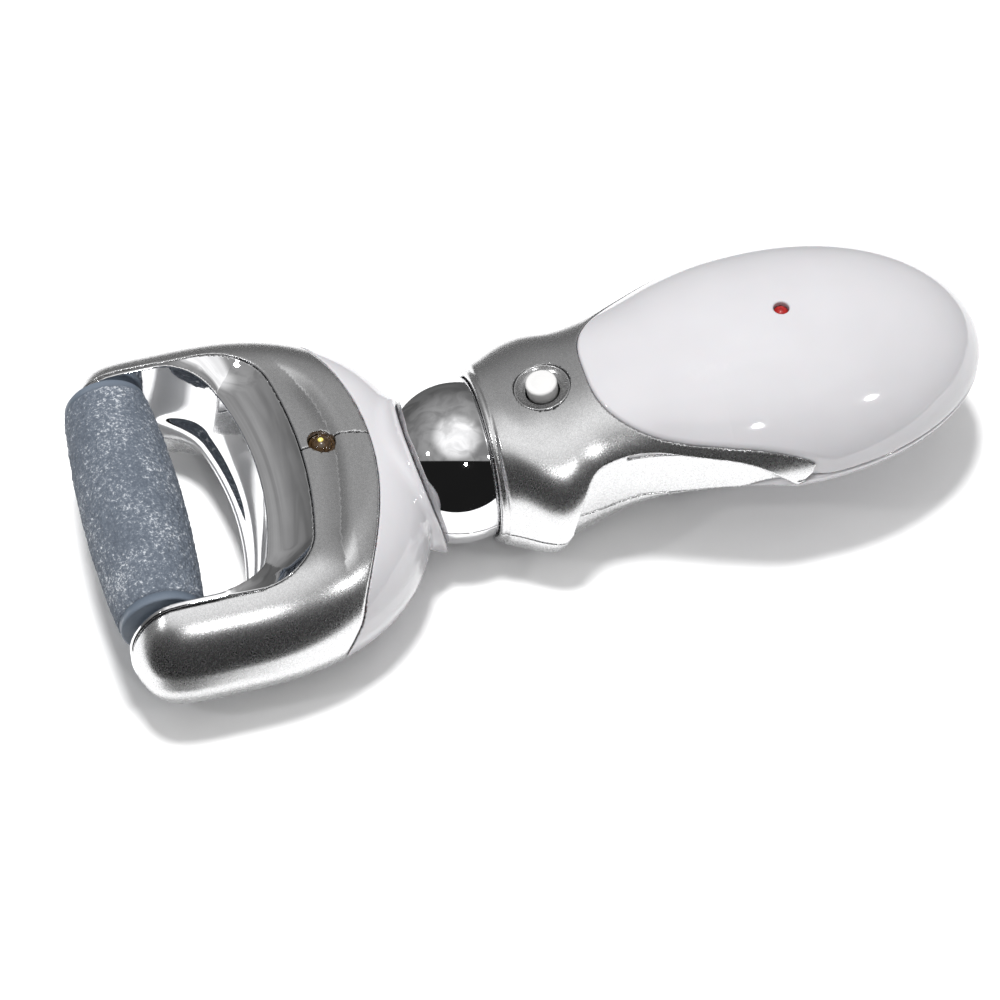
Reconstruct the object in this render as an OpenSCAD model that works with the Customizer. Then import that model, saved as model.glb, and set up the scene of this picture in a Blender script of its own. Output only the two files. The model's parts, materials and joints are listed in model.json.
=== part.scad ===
// Hand-held electric callus remover: a U-shaped head with a mineral roller,
// carried on a ball neck at the front of a rounded handle.
// X runs from the roller to the tail, Y across, Z up; it lies on its underside.

/* [Overall] */
// Ball centre to the front of the arms
head_reach = 75; // [70:1:80]
// Half of the head's width
head_half_w = 39; // [37:0.5:42]
// Height of the head's top above the ball centre
head_top = 13.5; // [13:0.5:16]
// Depth of the flat underside below the ball centre
rest_depth = 17.4; // [17:0.1:18]
// Ball centre to the tip of the tail
tail_reach = 109; // [104:1:114]

/* [Neck] */
// Radius of the chrome ball
ball_r = 16.6; // [16:0.1:17]
// Diameter of the steel axle through the ball
axle_d = 4; // [3:0.5:5]

/* [Roller] */
// Roller axis in front of the ball centre
roller_x = 65.5; // [64:0.5:67]
// Roller axis above the ball centre
roller_z = 5.5; // [5:0.5:6]
// Roller radius at its middle
roller_mid_r = 10.2; // [9.5:0.1:10.6]
// Roller radius at its ends
roller_end_r = 8.6; // [8:0.1:9]
// Length of the abrasive sleeve
roller_len = 53; // [50:1:54]

/* [Gears] */
// Gear module, pitch diameter over teeth
gear_m = 0.55; // [0.54:0.01:0.56]
// Teeth on the motor pinion
pinion_teeth = 10; // [9:1:11]
// Teeth on both idler gears
idler_teeth = 28; // [27:1:29]
// Teeth on the roller gear
roller_teeth = 12; // [11:1:13]
// Face width of the gears
gear_w = 1.5; // [1.3:0.1:1.5]

/* [Handle] */
// Half of the handle's width at the dome
dome_half_w = 28.4; // [27:0.2:30]
// Front of the dome behind the ball centre
dome_front = 26; // [25:0.5:27]
// Height of the dome's crown above the ball centre
dome_top = 26.4; // [25:0.2:27]
// Height of the seam under the dome
seam_z = 7; // [6:0.5:8]
// Wall thickness of the casings
wall = 1.8; // [1.6:0.1:2]

/* [Button] */
// Diameter of the push button
button_d = 6.4; // [6:0.2:7]
// Travel of the push button
button_travel = 1; // [0.6:0.1:1.2]
// Button axis behind the ball centre
button_x = 17.5; // [17:0.5:18]

/* [Hidden] */
$fn = 48;
gap = 0.3;

// The frame: middle of the length at X = 0, underside at Z = 0
front_x = roller_x + roller_mid_r;
shift_x = (front_x - tail_reach) / 2;
module place() translate([shift_x, 0, rest_depth]) children();

// ---------- shapes shared by several pieces ----------

// A closed solid through rings of points, ordered along the stack
module loft(rings) {
    n = len(rings[0]);
    m = len(rings);
    polyhedron(points = [for (r = rings) each r], faces = concat(
        [[for (j = [0:n - 1]) j]],
        [for (i = [0:m - 2], j = [0:n - 1])
            [i * n + j, (i + 1) * n + j, (i + 1) * n + (j + 1) % n, i * n + (j + 1) % n]],
        [[for (j = [n - 1:-1:0]) (m - 1) * n + j]]), convexity = 8);
}

function power(v, p) = sign(v) * pow(abs(v), p);

// Head outline in plan at angle t, drawn in by d
head_mid_x = -50;
function head_pt(t, d) = let (
    back = cos(t) > 0,
    n = back ? 2.3 : 5.5,
    a = (back ? -head_mid_x - 7 : head_reach + head_mid_x) - d,
    b = head_half_w - d)
    [head_mid_x + a * power(cos(t), 2 / n), b * power(sin(t), 2 / n)];

// The head's round solid between two heights, drawn in by t all over
head_round_up = 10;
head_round_dn = 14;
head_low = rest_depth - 1.2;
function inset_at(z, t) = let (
    top = head_top - t, low = -head_low + t,
    ru = head_round_up - t / 2, rd = head_round_dn - t / 2,
    u = max(0, z - (top - ru)) / ru, v = max(0, (low + rd) - z) / rd)
    ru * (1 - sqrt(max(0, 1 - u * u))) + rd * (1 - sqrt(max(0, 1 - v * v)));
module head_solid(t = 0, steps = 40) {
    levels = [for (a = [0:15:180]) -cos(a)];
    loft([for (c = levels) let (
        z = (head_top - head_low) / 2 + c * ((head_top + head_low) / 2 - t) * 0.999)
        [for (k = [0:steps - 1]) let (p = head_pt(k * 360 / steps, t + inset_at(z, t)))
            [p[0], p[1], z]]]);
}

// The working opening between the arms, grown by g
open_back = -43;
open_half_w = 29;
module opening_2d(g = 0) {
    r = 11;
    hull() {
        for (s = [-1, 1]) translate([open_back - r, s * (open_half_w - r)]) circle(r + g);
        translate([-110, -open_half_w - g]) square([20, 2 * (open_half_w + g)]);
    }
}
module opening(g = 0) translate([0, 0, -40]) linear_extrude(80) opening_2d(g);

// Region behind the line where the silver covers end
function rear_line_x(y) = -17.5 - 0.0085 * y * y;
module rear_region(g = 0) translate([0, 0, -40]) linear_extrude(80)
    polygon(concat([for (y = [-48:4:48]) [rear_line_x(y) + g, y]], [[20, 48], [20, -48]]));

module ball_space(g) sphere(ball_r + g, $fn = 64);

// ---------- gears ----------

// Tooth outline: flanks follow the involute of the base circle
press_angle = 20;
function involute(rb, r) = let (c = max(0, sqrt(max(0, r * r / (rb * rb) - 1))))
    c * 180 / PI - atan(c);
module gear_2d(teeth, backlash = 0.12) {
    rp = gear_m * teeth / 2;
    rb = rp * cos(press_angle);
    ra = rp + gear_m * 0.9;
    rf = rp - gear_m * 1.2;
    half = 90 / teeth - backlash / rp * 90 / PI + involute(rb, rp);
    flank = [for (k = [0:4]) let (r = max(rb, rf) + k * (ra - max(rb, rf)) / 4)
        [r, half - involute(rb, r)]];
    polygon([for (i = [0:teeth - 1]) each let (c = i * 360 / teeth) concat(
        [[rf * cos(c - half * 1.05), rf * sin(c - half * 1.05)]],
        [for (p = flank) [p[0] * cos(c - p[1]), p[0] * sin(c - p[1])]],
        [for (k = [4:-1:0]) let (p = flank[k]) [p[0] * cos(c + p[1]), p[0] * sin(c + p[1])]],
        [[rf * cos(c + half * 1.05), rf * sin(c + half * 1.05)]])]);
}

// Gear axes as [x, z]; the idlers sag below the line from pinion to roller
pinion_xz = [-31.2, -1];
roller_xz = [-roller_x, roller_z];
reach_a = gear_m * (pinion_teeth + idler_teeth) / 2;
reach_b = gear_m * idler_teeth;
reach_c = gear_m * (idler_teeth + roller_teeth) / 2;
// First idler just above the line ahead of the pinion, second where both circles meet
idler_a_xz = pinion_xz + reach_a * [cos(172), sin(172)];
span_v = roller_xz - idler_a_xz;
span = norm(span_v);
along = (reach_b * reach_b - reach_c * reach_c + span * span) / (2 * span);
across = sqrt(max(0, reach_b * reach_b - along * along));
idler_b_xz = idler_a_xz + along * span_v / span + across * [-span_v[1], span_v[0]] / span;
function heading(p, q) = atan2(q[1] - p[1], q[0] - p[0]);
// Turn of a follower gear that puts its gap on the driver's tooth
function mesh_turn(n1, t1, p1, n2, p2) = let (h = heading(p1, p2))
    h + 180 + (360 / n2) * (0.5 - n1 * (t1 - h) / 360);
turn_a = mesh_turn(pinion_teeth, 0, pinion_xz, idler_teeth, idler_a_xz);
turn_b = mesh_turn(idler_teeth, turn_a, idler_a_xz, idler_teeth, idler_b_xz);
turn_c = mesh_turn(idler_teeth, turn_b, idler_b_xz, roller_teeth, roller_xz);
gear_y = 31.7;
// Gear plane: the drawing's X and Y become the head's X and Z
module gear_plane(xz, y = gear_y, turn = 0)
    translate([xz[0], y, xz[1]]) rotate([-90, 0, 0]) mirror([0, 1, 0]) rotate(turn) children();
module y_rod(xz, y, len, d) translate([xz[0], y, xz[1]]) rotate([-90, 0, 0]) cylinder(h = len, d = d);
module spur(xz, teeth, turn, bore) gear_plane(xz, gear_y, turn) linear_extrude(gear_w)
    difference() { gear_2d(teeth); circle(d = bore); }

// ---------- handle shape ----------

// Sections of the handle: [x, half width, middle height, top, bottom]
tail_mid = 66;
function egg(x) = let (
    a = x < tail_mid ? 46 : tail_reach - tail_mid,
    s = pow(max(0, 1 - pow(abs((x - tail_mid) / a), 2.2)), 1 / 2.1))
    [x, dome_half_w * s, seam_z, seam_z + (dome_top - seam_z) * s, seam_z - 11 * s];
neck_sections = [[4.8, 17.2, 0, 17.2, -17.2], [7.5, 18.6, 0, 17.6, -17.4], [12, 21.2, 0, 17.3, -17.4],
    [17.5, 23, 0, 17.4, -17.4], [22, 22, 0, 18.5, -17], [27, 21.2, 1, 19.9, -15.6],
    [33, 21.5, 3, 21.6, -13.2], [41, 23.4, 5.4, 23.5, -9.8]];
tail_sections = [for (f = [0, 0.17, 0.34, 0.51, 0.66, 0.79, 0.89, 0.955, 0.99, 0.999])
    egg(49 + f * (tail_reach - 49))];
handle_sections = concat(neck_sections, tail_sections);
function section_ring(s, t, steps) = let (
    w = max(0.4, s[1] - t), up = max(0.4, s[3] - s[2] - t), dn = max(0.4, s[2] - s[4] - t))
    [for (k = [0:steps - 1]) let (a = k * 360 / steps, n = 2 / 2.15)
        [s[0], w * power(cos(a), n), s[2] + (sin(a) > 0 ? up : dn) * power(sin(a), n)]];
module handle_solid(t = 0, steps = 32) {
    last = t > 0 ? 3 : 1;
    loft([for (i = [0:len(handle_sections) - last])
        section_ring(handle_sections[i] - [i == 0 ? t : 0, 0, 0, 0, 0], t, steps)]);
}
// Finger scoops, one on each side under the wings
scoop_r = 32;
module scoops(t = 0) for (s = [-1, 1])
    translate([38, s * (scoop_r + 14.5), -3]) sphere(scoop_r + t, $fn = 64);
module handle_outer() difference() { handle_solid(); scoops(); ball_space(0.25); }
module handle_cavity() difference() { handle_solid(wall); scoops(wall); }

// Seam between the silver shells, rising to the wing tips
wing_tip_x = 62;
module above_silver_seam() rotate([90, 0, 0]) translate([0, 0, -60]) linear_extrude(120)
    polygon([[-5, -5], [20, -5], [34, -4], [wing_tip_x, seam_z - 3], [wing_tip_x, 60], [-5, 60]]);
// Line where the dome meets the silver, in plan
function dome_line_x(y) = dome_front + 0.0019 * pow(abs(y), 3);
module dome_region() translate([0, 0, -40]) linear_extrude(90)
    polygon(concat([for (y = [-32:2:32]) [dome_line_x(y), y]], [[130, 32], [130, -32]]));
module above_seam() translate([-20, -60, seam_z]) cube([200, 120, 60]);
module rear_low_region() rotate([90, 0, 0]) translate([0, 0, -60]) linear_extrude(120)
    polygon([[44, -40], [47, -8], [wing_tip_x, seam_z - 3], [wing_tip_x, seam_z], [140, seam_z], [140, -40]]);

// Handle screws as [x, y, height of the head's underside]
handle_screw_at = [[31, -9, -9], [31, 9, -9], [84, -15, 1.2], [84, 15, 1.2]];
module screw(len = 9, head_d = 4.6) {
    difference() {
        cylinder(h = 1.8, d = head_d);
        for (a = [0, 90]) rotate(a) translate([-1.5, -0.3, -0.1]) cube([3, 0.6, 0.9]);
    }
    cylinder(h = 1.8 + len, d = 2.4);
}
module at_handle_screws() for (p = handle_screw_at) translate(p) children();

// Button seat, tipped with the collar's top
button_tilt = 8;
button_z = 17.3;
module at_button() translate([button_x, 0, button_z]) rotate([0, -button_tilt, 0]) children();
stem_r = 9;
ball_seam_z = -2.6;
clamp_x = 20;

// Half-ribs that clamp the ball's stem
module stem_rib() intersection() {
    translate([clamp_x, 0, 0]) rotate([0, 90, 0]) difference() {
        cylinder(h = 2.4, r = 40);
        translate([0, 0, -1]) cylinder(h = 5, r = stem_r);
    }
    handle_cavity();
}

// ---------- handle pieces ----------

module handle_top_dome() color([0.93, 0.93, 0.94]) place() {
    difference() {
        intersection() { handle_outer(); dome_region(); above_seam(); }
        handle_cavity();
        translate([66.5, 0, 10]) cylinder(h = 30, d = 3.3);
        translate([66.5, 0, dome_top - 0.7]) cylinder(h = 5, d1 = 3.3, d2 = 8);
    }
    intersection() {
        for (p = [for (q = handle_screw_at) if (q[0] > 60) q]) translate([p[0], p[1], seam_z])
            difference() { cylinder(h = 30, d = 5.4); translate([0, 0, -1]) cylinder(h = 8, d = 2.4); }
        handle_cavity();
    }
}
module handle_bottom_shell() color([0.9, 0.9, 0.91]) place() difference() {
    union() {
        difference() {
            intersection() { handle_outer(); rear_low_region(); }
            handle_cavity();
        }
        intersection() {
            for (p = [for (q = handle_screw_at) if (q[0] > 60) q]) translate([p[0], p[1], -12])
                cylinder(h = 12 + seam_z - gap, d = 7);
            handle_cavity();
        }
    }
    for (p = [for (q = handle_screw_at) if (q[0] > 60) q]) {
        translate([p[0], p[1], -20]) cylinder(h = 20 + p[2] + 1.8, d = 5);
        translate([p[0], p[1], -20]) cylinder(h = 40, d = 2.8);
    }
    socket_body(0.4);
}
module collar_top_shell() color([0.72, 0.72, 0.73]) place() difference() {
    union() {
        difference() {
            intersection() { handle_outer(); above_silver_seam(); }
            intersection() { above_seam(); dome_region(); }
            rear_low_region();
            handle_cavity();
        }
        intersection() { stem_rib(); above_silver_seam(); }
    }
    at_button() translate([0, 0, -8]) cylinder(h = 20, d = 11.4);
    translate([13, -5, 8.8]) cube([20, 10, 6.3]);
}
module collar_bottom_shell() color([0.66, 0.66, 0.67]) place() difference() {
    union() {
        difference() {
            handle_outer();
            above_silver_seam();
            above_seam();
            rear_low_region();
            handle_cavity();
        }
        difference() { stem_rib(); above_silver_seam(); }
        difference() {
            intersection() {
                for (p = [for (q = handle_screw_at) if (q[0] < 60) q]) translate([p[0], p[1], -25])
                    cylinder(h = 25 - 5.5, d = 7);
                handle_cavity();
            }
            above_silver_seam();
        }
    }
    for (p = [for (q = handle_screw_at) if (q[0] < 60) q]) {
        translate([p[0], p[1], -30]) cylinder(h = 30 + p[2] + 1.8, d = 5);
        translate([p[0], p[1], -30]) cylinder(h = 40, d = 2.8);
    }
}
module button_ring() color([0.78, 0.78, 0.8]) place() at_button() difference() {
    translate([0, 0, -2.2]) cylinder(h = 2.4, d = 11.2);
    translate([0, 0, -3]) cylinder(h = 5, d = button_d + 0.2);
    translate([0, 0, -0.6]) cylinder(h = 5, d1 = 8.4, d2 = 12);
}
module power_button() color([0.92, 0.92, 0.93]) place() at_button() {
    translate([0, 0, -2.6]) cylinder(h = 4.4, d = button_d);
    translate([0, 0, -3.2]) cylinder(h = 0.8, d = button_d + 1.8);
}
module power_switch() color([0.15, 0.15, 0.16]) place() at_button() {
    translate([-3, -3, -6.4]) cube([6, 6, 1]);
    translate([0, 0, -5.5]) cylinder(h = 0.9, d = 3.2);
}
module switch_board() color([0.1, 0.4, 0.2]) place() at_button()
    translate([-3.2, -4.4, -7.5]) cube([6.6, 8.8, 1]);
module main_circuit_board() color([0.1, 0.4, 0.2]) place() {
    translate([42, -11, 15.4]) cube([48, 22, 1.2]);
    translate([46, -6, 16.5]) cube([8, 8, 1.6]);
    translate([78, -8, 16.5]) cube([5, 6, 1.4]);
    translate([58, 4, 16.5]) cube([4, 3, 1.2]);
}
module charge_light() color([0.75, 0.05, 0.05]) place() translate([66.5, 0, 0]) {
    translate([0, 0, 16.7]) cylinder(h = 2, d = 3.8);
    translate([0, 0, 18.6]) cylinder(h = dome_top - 18.6 - 1.8, d = 3);
    translate([0, 0, dome_top - 1.8]) sphere(1.5);
}
cell_z = 8;
module along_x(x, z, len, d) translate([x, 0, z]) rotate([0, 90, 0]) cylinder(h = len, d = d);
module battery_cell() color([0.2, 0.35, 0.6]) place() {
    along_x(39.6, cell_z, 48.8, 14);
    along_x(88.3, cell_z, 1.1, 5);
}
module battery_cradle() color([0.2, 0.2, 0.2]) place() difference() {
    intersection() {
        along_x(37.8, cell_z, 53.4, 16.4);
        translate([30, -20, -20]) cube([80, 40, 20 + cell_z]);
    }
    along_x(38.8, cell_z, 51.4, 14.2);
    along_x(34, cell_z, 70, 10);
}
module battery_contacts() color([0.8, 0.7, 0.4]) place() {
    for (x = [39, 89.5]) translate([x, -3, cell_z - 5]) cube([0.5, 6, 12]);
}
socket_z = 3.4;
module socket_body(g = 0) {
    translate([94.4 - g, -3.2 - g, socket_z - 2.9 - g]) cube([4 + 2 * g, 6.4 + 2 * g, 5.8 + 2 * g]);
    along_x(98, socket_z, 3.4 + 20 * g, 5.4 + 2 * g);
}
module charging_socket() color([0.1, 0.1, 0.1]) place() difference() {
    socket_body();
    along_x(96, socket_z, 20, 3.6);
}
module handle_screws() color([0.6, 0.6, 0.62]) place() at_handle_screws() screw(7);

// ---------- ball neck ----------

boss_y = 6;
mouth_x = 13.2;
module ball_half(above) difference() {
    intersection() {
        union() {
            ball_space(0);
            along_x(10, 0, 16.6, 2 * stem_r);
            along_x(clamp_x + 2.7, 0, 2, 2 * stem_r + 3);
        }
        ball_side(above);
    }
    difference() {
        sphere(ball_r - 1.6, $fn = 64);
        // Bosses that hold the axle's ends
        for (s = [0, 1]) mirror([0, s, 0]) y_rod([0, 0], boss_y, 12, 9);
    }
    along_x(8, 0, 30, 2 * stem_r - 3.6);
    // Round mouth for the head's pivot lug
    along_x(-30, 0, 30 - mouth_x, 40);
    y_rod([0, 0], -14, 28, axle_d);
}
module ball_side(above) translate([-40, -40, above ? ball_seam_z : ball_seam_z - 60]) cube([80, 80, 60]);
module ball_top_shell() color([0.85, 0.85, 0.87]) place() ball_half(true);
module ball_bottom_shell() color([0.8, 0.8, 0.82]) place() ball_half(false);
module pivot_axle() color([0.7, 0.7, 0.72]) place() y_rod([0, 0], -13.8, 27.6, axle_d);
module pivot_washers() color([0.75, 0.7, 0.5]) place() for (s = [0, 1]) mirror([0, s, 0])
    difference() { y_rod([0, 0], 5.2, 0.7, 8); y_rod([0, 0], 5, 2, axle_d + 0.2); }

// ---------- head pieces ----------

bezel_t = 1.4;
slope_front = -32;
module slope_plan() hull() {
    for (s = [-1, 1]) translate([slope_front - 12, s * (open_half_w + bezel_t - 12)]) circle(12);
    translate([-110, -open_half_w - bezel_t]) square([20, 2 * (open_half_w + bezel_t)]);
}
slope_low = 8.6;
module head_cavity() head_solid(wall, 32);
module head_skin() difference() {
    head_solid();
    head_cavity();
}
module socket_space() {
    ball_space(0.5);
    // The lip leans back towards its foot
    rotate([0, -12, 0]) translate([-9.5, -40, -40]) cube([60, 80, 80]);
}
module socket_wall() intersection() {
    difference() { sphere(ball_r + 2.2, $fn = 64); ball_space(0.5); }
    translate([-20, -40, -40]) cube([20, 80, 80]);
    head_solid();
}
module head_rear_shell() color([0.92, 0.92, 0.93]) place() difference() {
    union() { intersection() { head_skin(); rear_region(); } socket_wall(); }
    socket_space();
    translate([-30, -7, -8]) cube([20, 14, 16]);
    gear_pocket(pinion_xz, pinion_teeth);
    bottom_screw_bores();
}
// Room for the end gears inside the head's rounding
module gear_pocket(xz, teeth)
    y_rod(xz, plate_y - gap, gear_y + gear_w + 2 * gap - plate_y, gear_m * (teeth + 1.8) + 2 * gap);
module arm_cover() difference() {
    head_skin();
    rear_region();
    opening(bezel_t);
    translate([0, 0, slope_low]) linear_extrude(30) slope_plan();
    at_head_light() translate([0, 0, -6]) cylinder(h = 12, d = 5.4);
    gear_pocket(roller_xz, roller_teeth);
    gear_pocket(pinion_xz, pinion_teeth);
    bottom_screw_bores();
}
module left_arm_cover() color([0.7, 0.7, 0.71]) place() difference() {
    arm_cover();
    translate([-100, -100, -40]) cube([140, 100, 80]);
}
module right_arm_cover() color([0.7, 0.7, 0.71]) place() difference() {
    arm_cover();
    translate([-100, 0, -40]) cube([140, 100, 80]);
}
module inner_bezel() color([0.8, 0.8, 0.82]) place() difference() {
    union() {
        // Wall round the opening
        intersection() {
            translate([0, 0, -15]) linear_extrude(27.6) difference() { opening_2d(bezel_t); opening_2d(); }
            head_solid(0.3);
        }
        // Sloping shoulder behind the roller
        intersection() {
            translate([0, 0, slope_low]) linear_extrude(20) difference() { slope_plan(); opening_2d(); }
            rotate([90, 0, 0]) translate([0, 0, -50]) linear_extrude(100)
                polygon([[-46, slope_low], [-32, slope_low + 2.6], [-32, 12.9], [-38, 11.2], [-46, 10]]);
        }
    }
    for (s = [0, 1]) mirror([0, s, 0]) y_rod(roller_xz, 26, 8, 5.2);
}
light_at = [-26.9, 1.9];
module at_head_light() translate([light_at[0], light_at[1], head_top - 1.4]) children();
module head_light() color([0.95, 0.9, 0.6]) place() at_head_light() {
    sphere(2.4);
    translate([0, 0, -2.6]) cylinder(h = 2.6, d = 4.8);
    translate([0, 0, -2.6]) cylinder(h = 0.9, d = 5.9);
}
module head_light_board() color([0.1, 0.4, 0.2]) place() at_head_light()
    translate([-3.2, -7, -3.7]) cube([8, 14, 1]);
plate_y = 30.6;
plate_t = 0.8;
tray_z = -11.4;
module side_plate() y_plate([[-70.5, 1], [-70.5, 9.5], [-61, 9.5], [-50, 5], [-22, 5], [-20, -2],
    [-20, tray_z], [-48, tray_z], [-62, -5]]);
module y_plate(outline) translate([0, plate_y + plate_t, 0]) rotate([90, 0, 0])
    linear_extrude(plate_t) polygon(outline);
bush_d = 5.6;
module head_chassis() color([0.3, 0.3, 0.32]) place() difference() {
    union() {
        intersection() {
            union() {
                for (s = [0, 1]) mirror([0, s, 0]) side_plate();
                translate([-41, -plate_y, tray_z]) cube([23, 2 * plate_y, 1.2]);
            }
            head_solid(wall + 0.2);
        }
        translate([-20.6, -14, tray_z]) cube([2.4, 28, 19]);
        // Pivot lug that reaches into the ball
        translate([-19, -3.5, -3]) cube([19, 7, 6]);
        y_rod([0, 0], -5, 10, 9);
    }
    y_rod([0, 0], -6, 12, axle_d + 0.1);
    for (s = [0, 1]) mirror([0, s, 0]) y_rod(roller_xz, 28, 8, bush_d);
    y_rod(pinion_xz, 28, 8, 2.6);
    y_rod(idler_a_xz, 28, 8, 2.4);
    y_rod(idler_b_xz, 28, 8, 2.4);
    bottom_screw_bores(2.4);
}
module motor() color([0.6, 0.6, 0.62]) place() {
    y_rod(pinion_xz, -19, 26, 18);
    y_rod(pinion_xz, -21, 2.1, 6);
    translate([pinion_xz[0] - 3, -23, pinion_xz[1] + 4]) cube([6, 4.1, 0.8]);
}
module reduction_gearbox() color([0.35, 0.35, 0.37]) place() {
    y_rod(pinion_xz, 7.1, 12, 18);
    y_rod(pinion_xz, 19, 1.5, 8);
}
module motor_pinion() color([0.7, 0.7, 0.72]) place() {
    spur(pinion_xz, pinion_teeth, 0, 1);
    y_rod(pinion_xz, 20.8, gear_y + gear_w - 20.8, 2.5);
}
module first_idler_gear() color([0.85, 0.8, 0.6]) place() spur(idler_a_xz, idler_teeth, turn_a, 2.5);
module second_idler_gear() color([0.85, 0.8, 0.6]) place() spur(idler_b_xz, idler_teeth, turn_b, 2.5);
module roller_gear() color([0.85, 0.8, 0.6]) place() spur(roller_xz, roller_teeth, turn_c, 4);
module idler_pins() color([0.7, 0.7, 0.72]) place() for (p = [idler_a_xz, idler_b_xz]) {
    y_rod(p, plate_y, 3.8, 2.4);
    y_rod(p, gear_y + gear_w + 0.15, 0.4, 3.6);
}
module roller_shaft() color([0.7, 0.7, 0.72]) place()
    y_rod(roller_xz, -32.4, 32.4 + gear_y + gear_w, 4);
core_r = roller_end_r - 1.8;
half_len = roller_len / 2;
module roller_core() color([0.25, 0.27, 0.3]) place() difference() {
    y_rod(roller_xz, -half_len, roller_len, 2 * core_r);
    y_rod(roller_xz, -half_len - 1, roller_len + 2, 4);
}
module roller_sleeve() color([0.4, 0.43, 0.48]) place()
    translate([roller_xz[0], 0, roller_xz[1]]) rotate([90, 0, 0]) rotate_extrude($fn = 72)
    polygon(concat([[core_r, -half_len], [core_r, half_len]], [for (k = [8:-1:-8]) let (u = k / 8)
        [roller_mid_r - (roller_mid_r - roller_end_r) * u * u, u * half_len]]));
module roller_end_caps() color([0.36, 0.4, 0.46]) place() for (s = [0, 1]) mirror([0, s, 0])
    difference() {
        union() {
            y_rod(roller_xz, half_len, 1.6, 2 * roller_end_r - 0.6);
            y_rod(roller_xz, half_len + 1.5, 0.5, 9);
        }
        y_rod(roller_xz, half_len - 1, 5, 4);
    }
module roller_bushes() color([0.7, 0.55, 0.3]) place() for (s = [0, 1]) mirror([0, s, 0])
    difference() {
        y_rod(roller_xz, plate_y, plate_t, bush_d);
        y_rod(roller_xz, plate_y - 1, 4, 4.1);
    }

// ---------- underside of the head ----------

head_screw_at = [for (sx = [-1, 1], sy = [-1, 1]) [-30.5 + sx * 7, sy * 17.5]];
module bottom_screw_bores(d = 2.7) for (p = head_screw_at)
    translate([p[0], p[1], -30]) cylinder(h = 30 + tray_z + 4, d = d);
module head_bottom_cover() color([0.85, 0.85, 0.86]) place() difference() {
    translate([-30.5, 0, -rest_depth]) linear_extrude(1.15) hull()
        for (sx = [-1, 1], sy = [-1, 1]) translate([sx * 7.5, sy * 18.5]) circle(3);
    for (p = head_screw_at) translate([p[0], p[1], -rest_depth]) {
        translate([0, 0, -1]) cylinder(h = 5, d = 2.7);
        translate([0, 0, -0.01]) cylinder(h = 0.8, d1 = 4.4, d2 = 2.7);
    }
}
module head_screws() color([0.6, 0.6, 0.62]) place() for (p = head_screw_at)
    translate([p[0], p[1], -rest_depth + 0.1]) {
        cylinder(h = 0.69, d1 = 4.2, d2 = 2.6);
        cylinder(h = 7.2, d = 2.4);
    }

handle_top_dome();
handle_bottom_shell();
collar_top_shell();
collar_bottom_shell();
button_ring();
power_button();
power_switch();
switch_board();
main_circuit_board();
charge_light();
battery_cell();
battery_cradle();
battery_contacts();
charging_socket();
handle_screws();
ball_top_shell();
ball_bottom_shell();
pivot_axle();
pivot_washers();
head_rear_shell();
left_arm_cover();
right_arm_cover();
head_bottom_cover();
inner_bezel();
head_light();
head_light_board();
head_chassis();
motor();
reduction_gearbox();
motor_pinion();
first_idler_gear();
second_idler_gear();
idler_pins();
roller_gear();
roller_shaft();
roller_core();
roller_sleeve();
roller_end_caps();
roller_bushes();
head_screws();
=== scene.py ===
"""Looks of an electric callus remover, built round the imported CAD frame.

Shapes are worked out in millimetres from the ball's centre: X to the tail, Y across, Z up.
Each moulded piece is a distance-like field, negative inside, that is meshed and then pulled
exactly onto its surface.
"""
import json
import math

import bpy
import numpy as np
from mathutils import Matrix, Vector


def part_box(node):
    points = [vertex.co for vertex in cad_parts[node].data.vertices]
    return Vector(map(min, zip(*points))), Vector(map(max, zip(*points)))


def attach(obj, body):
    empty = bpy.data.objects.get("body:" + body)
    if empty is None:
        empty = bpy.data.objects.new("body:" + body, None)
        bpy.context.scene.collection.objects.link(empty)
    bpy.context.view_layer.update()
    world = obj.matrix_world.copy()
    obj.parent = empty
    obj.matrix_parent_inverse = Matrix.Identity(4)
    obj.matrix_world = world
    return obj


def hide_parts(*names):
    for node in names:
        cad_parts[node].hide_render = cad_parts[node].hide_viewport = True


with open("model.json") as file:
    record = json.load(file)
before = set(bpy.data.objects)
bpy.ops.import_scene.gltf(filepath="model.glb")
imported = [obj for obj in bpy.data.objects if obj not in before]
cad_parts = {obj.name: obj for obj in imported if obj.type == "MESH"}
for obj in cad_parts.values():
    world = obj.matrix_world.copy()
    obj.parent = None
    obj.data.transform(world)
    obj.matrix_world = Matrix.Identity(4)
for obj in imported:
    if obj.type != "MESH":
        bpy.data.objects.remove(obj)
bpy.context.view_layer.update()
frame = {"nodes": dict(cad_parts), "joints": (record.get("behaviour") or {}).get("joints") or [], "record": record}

MM = 0.001


def joint_place(name):
    """Where a joint sits, in metres."""
    return np.array(next(j["pos_m"] for j in frame["joints"] if j["name"] == name))


BALL = joint_place("head_tilt")
ROLLER_X, _, ROLLER_Z = (joint_place("roller_spin") - BALL) / MM


def node_box(name):
    """Lowest and highest corner of a CAD node, in millimetres from the ball's centre."""
    low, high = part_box(name)
    return (np.array(low) - BALL) / MM, (np.array(high) - BALL) / MM


# ---------------------------------------------------------------- sizes
TAIL_X = node_box("handle_bottom_shell")[1][0]
DOME_TOP = node_box("handle_top_dome")[1][2]
SEAM_Z = node_box("handle_top_dome")[0][2]
DOME_HALF_W = node_box("handle_top_dome")[1][1]
HEAD_FRONT = node_box("left_arm_cover")[0][0]
HEAD_HALF_W = node_box("left_arm_cover")[1][1]
HEAD_LOW = node_box("left_arm_cover")[0][2]
BALL_R = node_box("ball_top_shell")[1][2]
BALL_SEAM_Z = node_box("ball_top_shell")[0][2]
WALL = 1.5
EDGE = 0.55          # rounding of the white shells along their seams
SILVER_EDGE = 0.35   # rounding of the silver covers along their seams
SEAM_GAP = 0.05      # each cover stops this far from a seam
STEP = 0.42
FINE = 0.34


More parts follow.
